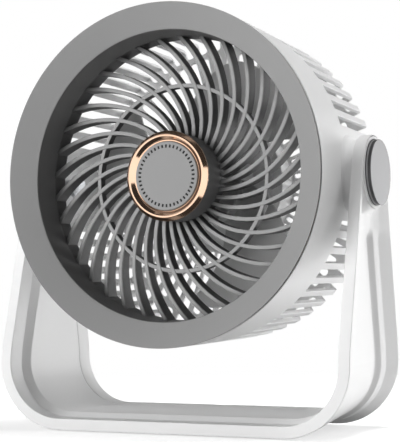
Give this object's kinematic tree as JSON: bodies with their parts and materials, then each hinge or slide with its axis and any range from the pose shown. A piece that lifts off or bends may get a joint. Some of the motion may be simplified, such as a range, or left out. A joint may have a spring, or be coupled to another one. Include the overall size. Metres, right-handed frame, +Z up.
{
  "type": "rechargeable table fan",
  "caption": "Round air circulator fan with a spiral grille, a slotted drum and a round badge, tilting between the arms of a U-shaped stand.",
  "frame": {"origin": "on the ground, under the middle of the tilt axis, which is the middle of the bounding box underside", "axes": "+Z up, the fan blows towards -Y, the tilt axis lies along X"},
  "size_m": [0.231, 0.1174, 0.2501],
  "materials": {
    "white_plastic": "satin moulded plastic, white",
    "grey_plastic": "matt moulded plastic, mid grey",
    "grille_plastic": "satin moulded plastic, grey",
    "badge_plastic": "matt plastic disc with printed marks",
    "rose_gold": "rose gold plating, polished",
    "cap_metal": "silver grey lacquered plastic, satin",
    "impeller_plastic": "satin moulded plastic, dark grey",
    "zinc_steel": "zinc plated steel",
    "motor_aluminium": "turned aluminium",
    "black_steel": "black plated steel",
    "lamination": "stacked steel laminations",
    "copper_wire": "enamelled copper wire",
    "cell_sleeve": "steel cans in a printed sleeve, with the density of a lithium cell",
    "dark_plastic": "black moulded plastic",
    "board": "green solder mask on glass fibre",
    "rubber": "soft rubber",
    "nylon": "nylon washer",
    "clear_plastic": "clear light pipe",
    "lead_black": "insulated wire, black",
    "lead_red": "insulated wire, red"
  },
  "bodies": {
    "stand": {"stand_frame": "white_plastic", "stand_inner_cover": "white_plastic", "ballast_plate": "zinc_steel", "stand_screws": "zinc_steel", "rubber_feet": "rubber", "pivot_cap_left": "cap_metal", "pivot_cap_right": "cap_metal"},
    "head": {"rear_shell": "white_plastic", "front_bezel": "grey_plastic", "front_duct": "grille_plastic", "front_grille": "grille_plastic", "grille_hub": "grille_plastic", "trim_ring": "rose_gold", "badge_disc": "badge_plastic", "pivot_post_left": "zinc_steel", "pivot_post_right": "zinc_steel", "friction_washers": "nylon", "wave_washers": "zinc_steel", "retaining_washers": "zinc_steel", "pivot_screws": "zinc_steel", "bezel_screws": "zinc_steel", "motor_base": "motor_aluminium", "motor_bearings": "zinc_steel", "stator_core": "lamination", "stator_coils": "copper_wire", "motor_screws": "zinc_steel", "motor_leads": "lead_black", "battery_cells": "cell_sleeve", "battery_tray": "dark_plastic", "tray_screws": "zinc_steel", "battery_leads": "lead_red", "control_board": "board", "board_screws": "zinc_steel", "tact_switch": "dark_plastic", "usb_socket": "zinc_steel", "indicator_lights": "clear_plastic", "rear_hub_cover": "white_plastic", "cover_screws": "zinc_steel"},
    "rotor": {"impeller": "impeller_plastic", "rotor_can": "black_steel", "rotor_magnet": "dark_plastic", "motor_shaft": "zinc_steel", "shaft_clip": "zinc_steel", "impeller_nut": "zinc_steel"},
    "button": {"power_button": "grey_plastic", "switch_plunger": "dark_plastic"}
  },
  "joints": [
    {"name": "head_tilt", "type": "hinge", "parent": "stand", "child": "head", "pos_m": [0, 0, 0.1501], "axis": [-1, 0, 0], "range_deg": [-90, 90]},
    {"name": "impeller_spin", "type": "hinge", "parent": "head", "child": "rotor", "pos_m": [0, 0.015, 0.1501], "axis": [0, -1, 0], "continuous": true},
    {"name": "power_press", "type": "slide", "parent": "head", "child": "button", "axis": [0, -1, 0], "range_m": [0, 0.0006], "stiffness_N_per_m": 2000, "springref_m": -0.0002}
  ]
}
